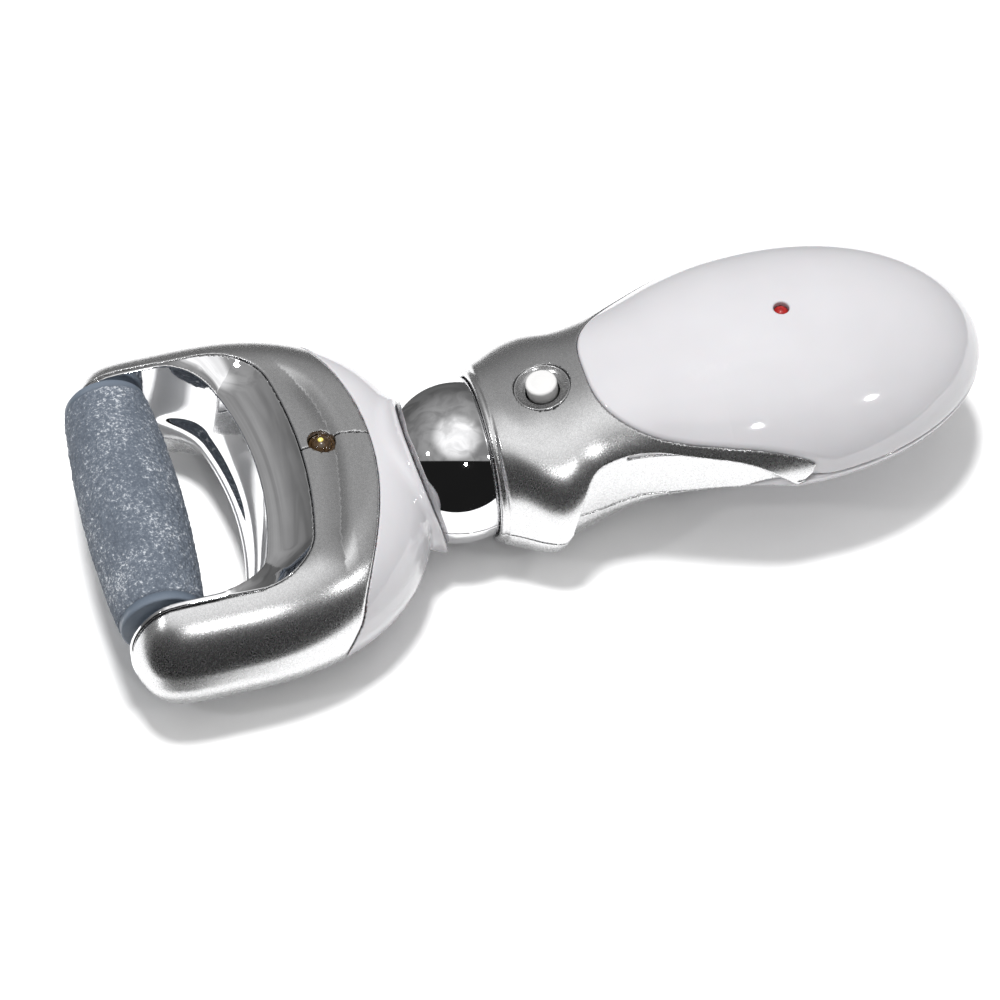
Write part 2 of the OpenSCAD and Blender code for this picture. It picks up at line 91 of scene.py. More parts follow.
# ---------------------------------------------------------------- field tools
def spline(knots):
    """Natural cubic curve through (x, value) knots, held level outside them."""
    xs, ys = np.array(knots, float).T
    n = len(xs)
    h = np.diff(xs)
    a = np.eye(n)
    b = np.zeros(n)
    for i in range(1, n - 1):
        a[i, i - 1], a[i, i], a[i, i + 1] = h[i - 1], 2 * (h[i - 1] + h[i]), h[i]
        b[i] = 6 * ((ys[i + 1] - ys[i]) / h[i] - (ys[i] - ys[i - 1]) / h[i - 1])
    m = np.linalg.solve(a, b)

    def value(x):
        x = np.clip(x, xs[0], xs[-1])
        i = np.clip(np.searchsorted(xs, x) - 1, 0, n - 2)
        t, u, w = x - xs[i], xs[i + 1] - x, h[i]
        bend = (m[i] * u**3 + m[i + 1] * t**3) / (6 * w)
        return bend + (ys[i] / w - m[i] * w / 6) * u + (ys[i + 1] / w - m[i + 1] * w / 6) * t
    return value


def smooth_max(a, b, r):
    """Larger of two fields, with the edge between them rounded to about radius r."""
    return np.maximum(a, b) + np.maximum(r - np.abs(a - b), 0) ** 2 / (4 * r)


def smooth_min(a, b, r):
    """Smaller of two fields, with the edge between them rounded to about radius r."""
    return -smooth_max(-a, -b, r)


def round_max(a, b, r):
    """Larger of two distances, with the edge rounded to exactly radius r."""
    corner = np.hypot(np.maximum(a + r, 0), np.maximum(b + r, 0))
    return np.minimum(np.maximum(a, b), -r) + corner


def superellipse(u, v, a, b, n):
    """Distance-like value of |u/a|^n + |v/b|^n = 1."""
    p, q = np.abs(u) / a + 1e-9, np.abs(v) / b + 1e-9
    s = (p**n + q**n) ** (1 / n)
    slope = s ** (1 - n) * np.hypot(p ** (n - 1) / a, q ** (n - 1) / b)
    return (s - 1) / np.maximum(slope, 1e-4)


def rounded_box_2d(u, v, half_u, half_v, r):
    """Distance from a flat box with round corners, negative inside it."""
    p, q = np.abs(u) - half_u + r, np.abs(v) - half_v + r
    return np.minimum(np.maximum(p, q), 0) + np.hypot(np.maximum(p, 0), np.maximum(q, 0)) - r


# ---------------------------------------------------------------- meshing
def surface_net(field, low, high, step):
    """Vertices and quads of the field's zero surface on a regular grid."""
    axes = [np.arange(low[k] - step, high[k] + 2 * step, step) for k in range(3)]
    shape = [len(a) for a in axes]
    values = np.empty(shape)
    y, z = axes[1][None, :, None], axes[2][None, None, :]
    rows = 16
    for i in range(0, shape[0], rows):
        values[i:i + rows] = field(axes[0][i:i + rows, None, None], y, z)
    inside = values < 0
    corners = [(i, j, k) for i in (0, 1) for j in (0, 1) for k in (0, 1)]

    def part(array, c):
        return array[tuple(slice(c[d], shape[d] - 1 + c[d]) for d in range(3))]

    count = sum(part(inside, c).astype(np.int8) for c in corners)
    cells = np.argwhere((count > 0) & (count < 8))
    index = np.full([s - 1 for s in shape], -1, np.int64)
    index[tuple(cells.T)] = np.arange(len(cells))
    f = {c: values[tuple((cells + c).T)] for c in corners}
    total = np.zeros((len(cells), 3))
    hits = np.zeros(len(cells))
    for a in corners:
        for d in range(3):
            if a[d]:
                continue
            b = tuple(1 if k == d else a[k] for k in range(3))
            crossing = (f[a] < 0) != (f[b] < 0)
            t = np.where(crossing, f[a] / np.where(crossing, f[a] - f[b], 1), 0)
            point = np.array(a, float) + t[:, None] * (np.array(b) - np.array(a))
            total += np.where(crossing[:, None], point, 0)
            hits += crossing
    start = np.array([a[0] for a in axes])
    points = start + step * (cells + total / hits[:, None])
    quads = []
    for d in range(3):
        e, g = (d + 1) % 3, (d + 2) % 3
        inner = [slice(1, shape[k] - 1) for k in range(3)]
        inner[d] = slice(0, shape[d] - 1)
        lower = inside[tuple(inner)]
        inner[d] = slice(1, shape[d])
        upper = inside[tuple(inner)]
        edge = np.argwhere(lower != upper)
        if not len(edge):
            continue
        leaving = lower[tuple(edge.T)]
        cell = edge + np.array([0 if k == d else 1 for k in range(3)])
        ring = []
        for de, dg in ((0, 0), (-1, 0), (-1, -1), (0, -1)):
            c = cell.copy()
            c[:, e] += de
            c[:, g] += dg
            ring.append(index[tuple(c.T)])
        ring = np.stack(ring, 1)
        ring[~leaving] = ring[~leaving][:, ::-1]
        quads.append(ring)
    return points, np.concatenate(quads)


def gradient(field, p, h=0.01):
    """Slope of the field at each point."""
    steps = h * np.eye(3)
    return np.stack([(field(*(p + s).T) - field(*(p - s).T)) / (2 * h) for s in steps], 1)


def settle(field, p, step, rounds=4):
    """Moves points along the gradient onto the zero surface."""
    for _ in range(rounds):
        g = gradient(field, p)
        move = field(*p.T)[:, None] * g / np.maximum((g * g).sum(1), 1e-6)[:, None]
        length = np.linalg.norm(move, axis=1, keepdims=True)
        p = p - move * np.minimum(1, 0.6 * step / np.maximum(length, 1e-9))
    return p


def relax(p, quads, share):
    """Evens out the net by moving each point towards its neighbours' mean."""
    total = np.zeros_like(p)
    hits = np.zeros(len(p))
    for k in range(4):
        a, b = quads[:, k], quads[:, (k + 1) % 4]
        for s, t in ((a, b), (b, a)):
            np.add.at(total, s, p[t])
            np.add.at(hits, s, 1)
    return p + share * (total / np.maximum(hits, 1)[:, None] - p)


def mesh_object(name, points, faces, normals=None):
    """A mesh object from millimetre points, with exact shading normals where given."""
    mesh = bpy.data.meshes.new(name)
    faces = np.asarray(faces)
    sides = faces.shape[1]
    mesh.vertices.add(len(points))
    mesh.vertices.foreach_set("co", (points * MM + BALL).astype(np.float32).ravel())
    mesh.loops.add(faces.size)
    mesh.loops.foreach_set("vertex_index", faces.astype(np.int32).ravel())
    mesh.polygons.add(len(faces))
    mesh.polygons.foreach_set("loop_start", np.arange(0, faces.size, sides, dtype=np.int32))
    mesh.polygons.foreach_set("loop_total", np.full(len(faces), sides, dtype=np.int32))
    mesh.update(calc_edges=True)
    mesh.polygons.foreach_set("use_smooth", np.ones(len(faces), dtype=bool))
    if normals is not None:
        mesh.normals_split_custom_set_from_vertices(normals.astype(np.float32))
    obj = bpy.data.objects.new(name, mesh)
    bpy.context.scene.collection.objects.link(obj)
    return obj


def moulded(name, field, low, high, step=None):
    """Mesh of a field in the box low..high, exact and evenly spaced."""
    step = step or STEP
    points, quads = surface_net(field, np.array(low, float), np.array(high, float), step)
    points = settle(field, points, step, 3)
    for _ in range(2):
        points = settle(field, relax(points, quads, 0.5), step, 2)
    g = gradient(field, points)
    normals = g / np.maximum(np.linalg.norm(g, axis=1, keepdims=True), 1e-9)
    return mesh_object(name, points, quads, normals)


def turned(name, profile, place, steps=128, closed=True):
    """A solid of revolution: profile is (radius, height) points, place maps local to millimetres."""
    profile = np.array(profile, float)
    m = len(profile)
    angles = np.linspace(0, 2 * math.pi, steps, endpoint=False)
    r, h = profile[:, 0][:, None], profile[:, 1][:, None]
    local = np.stack([r * np.cos(angles), r * np.sin(angles), h + 0 * angles], -1).reshape(-1, 3)
    faces = []
    for i in range(m if closed else m - 1):
        for k in range(steps):
            a, b = i * steps, (i + 1) % m * steps
            faces.append((a + k, a + (k + 1) % steps, b + (k + 1) % steps, b + k))
    return mesh_object(name, place(local), np.array(faces))


def finish_piece(obj, body, slot, material, *nodes):
    """Gives a piece its material and body, and hides the CAD nodes that it stands for."""
    obj.data.materials.append(material)
    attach(obj, body)
    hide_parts(*nodes)
    return obj


# ---------------------------------------------------------------- head shape
HEAD_MID_X = -50
HEAD_BACK_X = -7
HEAD_TOP = 13.5
HEAD_TOP_R = 12.5
HEAD_LOW_R = 14
OPEN_HALF_W = 29
BEZEL_BACK_X = -31.4
BEZEL_HALF_W = 30.1
BEZEL_LOW = -7.4
BEZEL_SKIN = 1.3
VALLEY_DEPTH = 1.15
FAR = 60             # half length of a box that runs out past the roller
LAMP_X, LAMP_Y = -26.9, 1.9
LAMP_HOLE_R = 2.75


def head_outer(x, y, z):
    """The head as one round solid, before it is cut into covers."""
    back = superellipse(x - HEAD_MID_X, y, HEAD_BACK_X - HEAD_MID_X, HEAD_HALF_W, 2.3)
    front = superellipse(x - HEAD_MID_X, y, HEAD_MID_X - HEAD_FRONT, HEAD_HALF_W, 5.5)
    plan = np.where(x > HEAD_MID_X, back, front)
    top = z - HEAD_TOP + groove_depth(x, y)
    return round_max(round_max(plan, top, HEAD_TOP_R), HEAD_LOW - z, HEAD_LOW_R)


# Seam between the two arm covers: (x, y)
seam_y = spline([(-40, 0.2), (-32, 0.4), (-29.5, 0.8), (LAMP_X, LAMP_Y), (-24.5, 2.7), (-21, 2.3),
                 (-17, 1.2)])
# Crease of the valley behind the lamp: (y, x)
ridge_x = spline([(-34, -30.5), (-27, -29.3), (-22, -28.8), (-15.6, -27.4), (-8, -25.9), (-1, -24.9),
                  (4, -24.8), (10, -25.6), (16, -27.3), (21, -29.6), (27, -33)])


def groove_depth(x, y):
    """A valley across the silver top: a long slope down to a crease, then a short steep rise."""
    crease_x = ridge_x(y)
    fade = np.clip((29 - np.abs(y + 2.5)) / 13, 0, 1)
    slope = np.clip((x - crease_x + 5) / 5, 0, 1)
    rise = np.clip((x - crease_x) / 2.8, 0, 1)
    return VALLEY_DEPTH * fade * fade * (3 - 2 * fade) * slope**1.7 * (1 - rise) ** 1.7


# Back wall of the opening at mid-width, (z, x): a steep cove above, a lip that reaches forward,
# and the round underside
wall_profile = spline([(-20, -30), (-16.5, -37), (-12, -41.8), (-8, -44.2), (-4.3, -45.3), (-3, -44.9),
                       (-1, -43.4), (1, -42.4), (4, -41.5), (9, -40.4), (14, -39.6)])


def opening(x, y, z):
    """Distance from the working opening, negative inside it."""
    wall_x = wall_profile(z) - 0.0075 * y * y
    return rounded_box_2d(x - wall_x + FAR, y, FAR, OPEN_HALF_W, 9)


def bezel_plan(x, y):
    """Outline of the chrome shoulder and the trim on the arms, negative inside it."""
    bowed = x - BEZEL_BACK_X + 0.0055 * y * y
    return rounded_box_2d(bowed + FAR, y, FAR, BEZEL_HALF_W, 10)


def rear_line(x, y, z):
    """Positive behind the line where the silver covers end."""
    low = np.clip((4 - z) / 14, 0, 1)
    line = -17.5 - 0.0085 * y * y - 4 * low * low * (3 - 2 * low)
    return (x - line) / np.sqrt(1 + (0.017 * y) ** 2)


def arm_cover(side):
    """One silver half of the head: side 1 is the left arm, side -1 the right."""
    def field(x, y, z):
        hole = opening(x, y, z)
        body = round_max(head_outer(x, y, z), -hole, np.where(z < -4, 2.5, 0.3))
        under_bezel = np.minimum(BEZEL_SKIN + SEAM_GAP - hole, z - BEZEL_LOW + SEAM_GAP)
        under_trim = np.minimum(-bezel_plan(x, y) + SEAM_GAP, z - 5)
        kept = np.maximum(rear_line(x, y, z) + SEAM_GAP, np.maximum(under_bezel, under_trim))
        seam = 0.93 * side * (seam_y(x) - y) + 0.05
        lamp = LAMP_HOLE_R - np.hypot(x - LAMP_X, y - LAMP_Y)
        skin = round_max(body, kept, SILVER_EDGE)
        skin = round_max(skin, np.maximum(seam, lamp), 0.14)
        return np.maximum(skin, -(body + WALL))
    return field


def bezel(x, y, z):
    """Chrome shoulder that dips towards the opening, with its wall down the inside."""
    hole = opening(x, y, z)
    plan = bezel_plan(x, y)
    width = np.maximum(hole - plan, 1e-3)
    share = np.clip(-plan / width, 0, 1)
    drop = 3.6 * np.clip((width - 1.5) / 7, 0, 1) * (1 - (1 - share) ** 2)
    outer = head_outer(x, y, z + drop)
    corner = round_max(outer, -hole, 0.3)
    skin = np.maximum(corner, -(corner + BEZEL_SKIN))
    skin = round_max(skin, plan + SEAM_GAP, 0.3)
    return np.maximum(skin, BEZEL_LOW - z)


def lip_plane(x, y, z):
    """Leaning, slightly bowed cut that makes the lip round the ball."""
    return 0.979 * x + 0.203 * z + 8.13 - 0.8 * (y / 16) ** 2


SOCKET_OUT_R = 18.6   # outside of the lip round the ball
SOCKET_IN_R = 17.0    # inside of that lip


def rear_shell(x, y, z):
    """White housing behind the silver covers, with the lip that holds the ball."""
    centre = np.sqrt(x * x + y * y + z * z)
    outer = smooth_min(head_outer(x, y, z), np.maximum(centre - SOCKET_OUT_R, z - 14.2), 2.4)
    outer = round_max(outer, lip_plane(x, y, z), 0.9)
    outer = round_max(outer, -rear_line(x, y, z) + SEAM_GAP, 0.35)
    outer = np.maximum(outer, SOCKET_IN_R - centre)
    inner = np.maximum(head_outer(x, y, z) + WALL, SOCKET_OUT_R - centre)
    return np.maximum(outer, -inner)


def ball_half(side):
    """Upper (side 1) or lower (side -1) half of the hollow ball, open at both ends."""
    def field(x, y, z):
        ball = np.sqrt(x * x + y * y + z * z) - BALL_R
        cut = side * (BALL_SEAM_Z - z) + 0.06
        skin = np.maximum(round_max(ball, cut, 0.2), -(ball + WALL))
        return np.maximum(skin, np.maximum(-13.2 - x, x - 10))
    return field


# ---------------------------------------------------------------- handle shape
TAIL_MID = 66
TAIL_DOWN = 11
NECK_R = 16.95        # inside of the collar, round the ball
# Sections along the handle, all by x: half width, top, bottom and height of the widest line
half_width = spline([(3, 16.6), (5, 17.2), (7.5, 18.4), (12, 21.4), (15.5, 22.8), (17.5, 23), (20, 22.5),
                     (23, 21.5), (28, 21.2), (34, 22), (40, 23.6), (47, 25.8), (56, 27.7),
                     (TAIL_MID, DOME_HALF_W)])
crown = spline([(3, 17.1), (5, 17.2), (7.5, 17.5), (12, 17.35), (17, 17.4), (21, 18.3), (26, 19.9),
                (33, 21.8), (40, 23.3), (50, 25.2), (58, 26.1), (TAIL_MID, DOME_TOP)])
belly = spline([(3, -17.1), (5, -17.2), (7.5, -17.3), (12, -17.4), (17, -17.4), (22, -16.9), (27, -15.6),
                (33, -13), (41, -10), (50, -7.3), (58, -5.2), (TAIL_MID, SEAM_Z - TAIL_DOWN)])
middle = spline([(5, 0), (22, 0), (28, 1.4), (34, 3.2), (41, 5.4), (49, 6.7), (56, 7), (TAIL_MID, SEAM_Z)])
# Finger scoop: height of the wing's crease above it, and how deep it cuts in from the side
crease = spline([(14, 9), (22, 11), (28, 12.8), (34, 13.6), (43, 13.3), (54, 11.4), (60, 7.5), (64, 4)])
scoop_side = spline([(14, 17), (20, 16), (27, 14.6), (34, 14.3), (44, 16.5), (52, 19.5), (60, 24), (64, 28),
                     (70, 34)])
# Seam between the upper and lower silver shells: (x, z)
silver_seam = spline([(3, -5), (18, -5), (26, -6.3), (34, -5.2), (44, -4.6), (52, -2.6), (59, 1),
                      (62, 6.8)])


def handle_body(x, y, z):
    """The handle before its scoops are cut: sections to the widest point, then an egg-shaped tail."""
    w, mid = half_width(x), middle(x)
    above = z > mid
    h = np.where(above, crown(x) - mid, mid - belly(x))
    n = 2.4 - 0.4 * np.clip((x - 20) / 30, 0, 1)
    p, q = np.abs(y) / w + 1e-6, np.abs(z - mid) / h + 1e-6
    s = (p**n + q**n) ** (1 / n)
    slope = s ** (1 - n) * np.hypot(p ** (n - 1) / w, q ** (n - 1) / h)
    t = np.clip((x - TAIL_MID) / (TAIL_X - TAIL_MID), 0, None)
    total = np.hypot(s, t**1.05)
    along = 1.05 * t**1.1 / (total * (TAIL_X - TAIL_MID))
    across = s * slope / total
    return (total - 1) / np.maximum(np.hypot(along, across), 1e-4)


def scoop(x, y, z):
    """Finger scoop under a wing, negative inside it."""
    ceiling = z - crease(x)
    side = scoop_side(x) - np.abs(y)
    front = 17.6 + 0.019 * (z + 6) ** 2 - x
    return smooth_max(smooth_max(ceiling, side, 6), front * 0.95, 1.6)


def handle_outer(x, y, z):
    """The whole handle with its scoops and the rim round the ball."""
    soft = 0.6 + 4 * np.clip((-2 - z) / 8, 0, 1)
    body = smooth_max(handle_body(x, y, z), -scoop(x, y, z), soft)
    ring = np.hypot(y, z)
    bead = np.hypot(ring - 16.75, x - 5.3) - 0.8
    body = smooth_min(round_max(body, 5.7 - x, 0.8), bead, 0.5)
    return np.maximum(body, NECK_R - np.sqrt(x * x + ring * ring))


def dome_line(x, y, z):
    """Positive behind the line between the silver wings and the white dome."""
    a = np.abs(y)
    return (x - 26 - 0.0019 * a**3) / np.sqrt(1 + (0.0057 * a * a) ** 2)


def rear_low_line(x, y, z):
    """Positive behind the lower end of the silver."""
    foot = (x - 44 - 0.09 * (z + 40)) * 0.99
    rise = (x - 47 - 1.15 * (z + 8)) * 0.656
    return np.minimum(foot, rise)


def panel(region, r=EDGE, wall=WALL):
    """The handle's skin inside a region, with a softened edge at its seams."""
    def field(x, y, z):
        outer = handle_outer(x, y, z)
        return np.maximum(round_max(outer, region(x, y, z) + SEAM_GAP, r), -(outer + wall))
    return field


BUTTON_X = 17.5
BUTTON_Z = 17.3
BUTTON_LEAN = math.radians(8)
BUTTON_HOLE_R = 5.75
CHARGE_X = 66.5
CHARGE_HOLE_R = 1.55


def button_place(local):
    """From the button's own axis to the shared frame."""
    c, s = math.cos(BUTTON_LEAN), math.sin(BUTTON_LEAN)
    x, y, z = local.T
    return np.stack([BUTTON_X + c * x - s * z, y, BUTTON_Z + s * x + c * z], 1)


def button_radius(x, y, z):
    """Distance from the button's axis, and height along it."""
    c, s = math.cos(BUTTON_LEAN), math.sin(BUTTON_LEAN)
    u = c * (x - BUTTON_X) + s * (z - BUTTON_Z)
    up = -s * (x - BUTTON_X) + c * (z - BUTTON_Z)
    return np.hypot(u, y), up


def dome(x, y, z):
    """White top of the handle, with the hole of its charge lamp."""
    hole = CHARGE_HOLE_R - np.hypot(x - CHARGE_X, y)
    region = np.maximum(-dome_line(x, y, z), SEAM_Z - z)
    outer = handle_outer(x, y, z)
    skin = round_max(outer, region + SEAM_GAP, EDGE)
    skin = smooth_max(skin, hole, 0.5)
    return np.maximum(skin, -(outer + WALL))


def collar_top(x, y, z):
    """Upper silver shell with its two wings, and the hole of the button."""
    behind_dome = np.minimum(dome_line(x, y, z), z - SEAM_Z)
    wing_end = smooth_max(behind_dome, rear_low_line(x, y, z), 2.5)
    region = np.maximum(silver_seam(x) - z, wing_end)
    outer = handle_outer(x, y, z)
    radius, up = button_radius(x, y, z)
    skin = round_max(outer, region + SEAM_GAP, SILVER_EDGE)
    skin = np.maximum(skin, np.where(up > -6, BUTTON_HOLE_R - radius, -5))
    return np.maximum(skin, -(outer + WALL))


def collar_bottom_region(x, y, z):
    """Where the lower silver shell is, negative inside."""
    return np.maximum(z - silver_seam(x), np.maximum(z - SEAM_Z, rear_low_line(x, y, z)))


def handle_bottom_region(x, y, z):
    """Where the lower white shell is, negative inside."""
    return np.maximum(z - SEAM_Z, -rear_low_line(x, y, z))


# ---------------------------------------------------------------- materials
class Nodes:
    """Short-hand for building a material's node tree."""

    def __init__(self, name):
        self.material = bpy.data.materials.new(name)
        self.material.use_nodes = True
        self.tree = self.material.node_tree
        self.shader = self.tree.nodes["Principled BSDF"]
        self.place = self.add("ShaderNodeTexCoord").outputs["Object"]

    def add(self, kind, **values):
        node = self.tree.nodes.new(kind)
        for key, value in values.items():
            setattr(node, key, value)
        return node

    def link(self, a, b):
        self.tree.links.new(a, b)

    def set(self, **sockets):
        for key, value in sockets.items():
            self.shader.inputs[key.replace("_", " ")].default_value = value
        return self

    def noise(self, scale, detail=2, rough=0.5):
        """Noise with its scale in cycles per metre."""
        node = self.add("ShaderNodeTexNoise")
        node.inputs["Scale"].default_value = scale
        node.inputs["Detail"].default_value = detail
        node.inputs["Roughness"].default_value = rough
        self.link(self.place, node.inputs["Vector"])
        return node.outputs["Fac"]

    def cells(self, scale, feature="F1", out="Distance"):
        node = self.add("ShaderNodeTexVoronoi", feature=feature)
        node.inputs["Scale"].default_value = scale
        self.link(self.place, node.inputs["Vector"])
        return node.outputs[out]

    def span(self, value, low, high, to_low, to_high):
        node = self.add("ShaderNodeMapRange")
        limits = {"From Min": low, "From Max": high, "To Min": to_low, "To Max": to_high}
        for key, number in limits.items():
            node.inputs[key].default_value = number
        self.link(value, node.inputs["Value"])
        return node.outputs["Result"]

    def ramp(self, value, *stops):
        node = self.add("ShaderNodeValToRGB")
        ramp = node.color_ramp
        while len(ramp.elements) < len(stops):
            ramp.elements.new(0.5)
        for element, (place, colour) in zip(ramp.elements, stops):
            element.position = place
            element.color = (*colour, 1)
        self.link(value, node.inputs["Fac"])
        return node.outputs["Color"]

    def math(self, kind, a, b):
        node = self.add("ShaderNodeMath", operation=kind)
        for socket, value in zip(node.inputs, (a, b)):
            if isinstance(value, (int, float)):
                socket.default_value = value
            else:
                self.link(value, socket)
        return node.outputs[0]

    def rough(self, value):
        self.link(value, self.shader.inputs["Roughness"])
        return self

    def colour(self, value):
        self.link(value, self.shader.inputs["Base Color"])
        return self

    def bump(self, height, depth, strength=1.0):
        node = self.add("ShaderNodeBump")
        node.inputs["Strength"].default_value = strength
        node.inputs["Distance"].default_value = depth
        self.link(height, node.inputs["Height"])
        self.link(node.outputs["Normal"], self.shader.inputs["Normal"])
        return self


def gloss_white():
    n = Nodes("white_gloss_plastic")
    n.set(IOR=1.5, Coat_Weight=0.3, Coat_Roughness=0.02, Subsurface_Weight=0.05, Subsurface_Scale=0.002)
    n.colour(n.ramp(n.noise(60, 3), (0.3, (0.48, 0.473, 0.491)), (0.7, (0.505, 0.498, 0.516))))
    n.rough(n.span(n.noise(900, 3), 0.3, 0.75, 0.05, 0.12))
    return n.bump(n.noise(90, 1), 0.00002, 0.3).material


def silver():
    n = Nodes("silver_flake_paint")
    n.set(Metallic=0.96, Coat_Weight=0.1, Coat_Roughness=0.1, IOR=1.5)
    flakes = n.cells(5200, out="Color")
    grey = n.add("ShaderNodeRGBToBW")
    n.link(flakes, grey.inputs[0])
    n.colour(n.ramp(grey.outputs[0], (0.15, (0.60, 0.60, 0.605)), (0.85, (0.74, 0.74, 0.745))))
    n.rough(n.span(n.noise(1600, 2), 0.3, 0.7, 0.25, 0.29))
    return n.bump(grey.outputs[0], 0.000006, 0.35).material


def chrome():
    n = Nodes("chrome_plating")
    n.set(Metallic=1.0, IOR=2.5)
    n.colour(n.ramp(n.noise(150, 2), (0.3, (0.80, 0.80, 0.81)), (0.7, (0.86, 0.86, 0.87))))
    n.rough(n.span(n.noise(700, 4), 0.35, 0.8, 0.015, 0.06))
    return n.bump(n.noise(110, 1), 0.00008, 0.25).material


def mineral():
    n = Nodes("mineral_abrasive")
    n.set(IOR=1.5)
    n.shader.inputs["Specular IOR Level"].default_value = 0.35
    patches = n.noise(130, 3)
    fine = n.noise(2600, 3, 0.7)
    grains = n.noise(1150, 2, 0.65)
    specks = n.math("ADD", n.math("MULTIPLY", fine, 0.55), n.math("MULTIPLY", grains, 0.45))
    specks = n.math("ADD", specks, n.math("MULTIPLY", n.math("SUBTRACT", patches, 0.5), 0.22))
    n.colour(n.ramp(specks, (0.40, (0.085, 0.100, 0.125)), (0.53, (0.125, 0.145, 0.175)),
                    (0.58, (0.22, 0.24, 0.27)), (0.64, (0.50, 0.52, 0.55))))
    n.rough(n.span(fine, 0.3, 0.7, 0.7, 0.95))
    return n.bump(specks, 0.00018, 0.8).material


def plain(name, low, high, rough, grain=900, depth=0.00003, metal=0.0, **sockets):
    """Moulded, cast or painted stock with slight colour drift, wear and grain."""
    n = Nodes(name)
    n.set(Metallic=metal, **sockets)
    n.colour(n.ramp(n.noise(140, 3), (0.3, low), (0.7, high)))
    n.rough(n.span(n.noise(grain, 4), 0.3, 0.7, rough * 0.8, rough * 1.25))
    return n.bump(n.noise(grain * 1.7, 2), depth, 0.5).material


def brushed(name, low, high, rough):
    """Turned metal with fine rings along the axle direction."""
    n = Nodes(name)
    n.set(Metallic=1.0)
    stretch = n.add("ShaderNodeMapping")
    stretch.inputs["Scale"].default_value = (0.15, 6, 0.15)
    n.link(n.place, stretch.inputs["Vector"])
    lines = n.add("ShaderNodeTexNoise")
    lines.inputs["Scale"].default_value = 900
    lines.inputs["Detail"].default_value = 3
    n.link(stretch.outputs[0], lines.inputs["Vector"])
    n.colour(n.ramp(n.noise(200, 2), (0.3, low), (0.7, high)))
    n.rough(n.span(lines.outputs["Fac"], 0.3, 0.7, rough * 0.7, rough * 1.4))
    return n.bump(lines.outputs["Fac"], 0.00002, 0.5).material


def board():
    n = Nodes("circuit_board_lacquer")
    n.set(IOR=1.5, Coat_Weight=0.4)
    tracks = n.cells(420, feature="DISTANCE_TO_EDGE")
    n.colour(n.ramp(tracks, (0.03, (0.03, 0.20, 0.08)), (0.09, (0.015, 0.11, 0.045))))
    n.rough(n.span(n.noise(1200, 3), 0.3, 0.7, 0.25, 0.45))
    return n.bump(tracks, 0.00004, 0.6).material


def lens(name, low, high, glow=0.0):
    n = Nodes(name)
    n.set(IOR=1.49, Transmission_Weight=0.35, Coat_Weight=0.6, Coat_Roughness=0.03)
    ripple = n.cells(1400)
    n.colour(n.ramp(ripple, (0.1, low), (0.6, high)))
    n.rough(n.span(n.noise(1500, 2), 0.3, 0.7, 0.06, 0.16))
    n.bump(ripple, 0.00004, 0.4)
    if glow:
        n.link(n.ramp(ripple, (0.1, low), (0.6, high)), n.shader.inputs["Emission Color"])
        n.shader.inputs["Emission Strength"].default_value = glow
    return n.material


WHITE = gloss_white()
SILVER = silver()
CHROME = chrome()
MINERAL = mineral()
CAP_BLUE = plain("roller_cap_plastic", (0.10, 0.125, 0.16), (0.13, 0.155, 0.19), 0.42)
MATTE_WHITE = plain("button_plastic", (0.58, 0.575, 0.57), (0.62, 0.615, 0.61), 0.42, grain=1600)
GREY = plain("underside_plastic", (0.52, 0.52, 0.54), (0.58, 0.58, 0.60), 0.4)
BLACK = plain("black_plastic", (0.012, 0.012, 0.013), (0.025, 0.025, 0.027), 0.4)
GEAR = plain("gear_nylon", (0.72, 0.69, 0.60), (0.80, 0.78, 0.70), 0.38)
STEEL = brushed("turned_steel", (0.50, 0.50, 0.51), (0.60, 0.60, 0.61), 0.28)
BRONZE = brushed("sintered_bronze", (0.42, 0.26, 0.11), (0.55, 0.36, 0.17), 0.4)
BOARD = board()
CELL = plain("cell_wrap", (0.03, 0.10, 0.30), (0.05, 0.14, 0.36), 0.25, IOR=1.5)
RED = lens("red_lamp_lens", (0.28, 0.004, 0.004), (0.50, 0.012, 0.010))
AMBER = lens("amber_lamp_die", (0.75, 0.55, 0.05), (0.95, 0.85, 0.25), 0.25)
LENS = lens("lamp_lens", (0.03, 0.016, 0.006), (0.08, 0.045, 0.02))

BY_SLOT = {
    "white_plastic": WHITE, "silver_paint": SILVER, "chrome": CHROME, "mineral_roller": MINERAL,
    "roller_plastic": CAP_BLUE, "grey_plastic": GREY, "black_plastic": BLACK, "gear_plastic": GEAR,
    "steel": STEEL, "bronze": BRONZE, "board_green": BOARD, "cell_wrap": CELL, "red_lens": RED,
    "clear_lens": LENS,
}
for row in frame["record"]["subparts"]:
    mesh = frame["nodes"][row["node"]].data
    mesh.materials.clear()
    mesh.materials.append(BY_SLOT[row["material_slot"]])


# ---------------------------------------------------------------- pieces
def around(low, high, margin=0.8):
    """A box grown by a margin."""
    return np.array(low, float) - margin, np.array(high, float) + margin


def build(name, field, low, high, body, slot, material, step=None):
    """A moulded piece that stands for the CAD node of its own name."""
    obj = moulded(name, field, *around(low, high), step=step)
    return finish_piece(obj, body, slot, material, name)


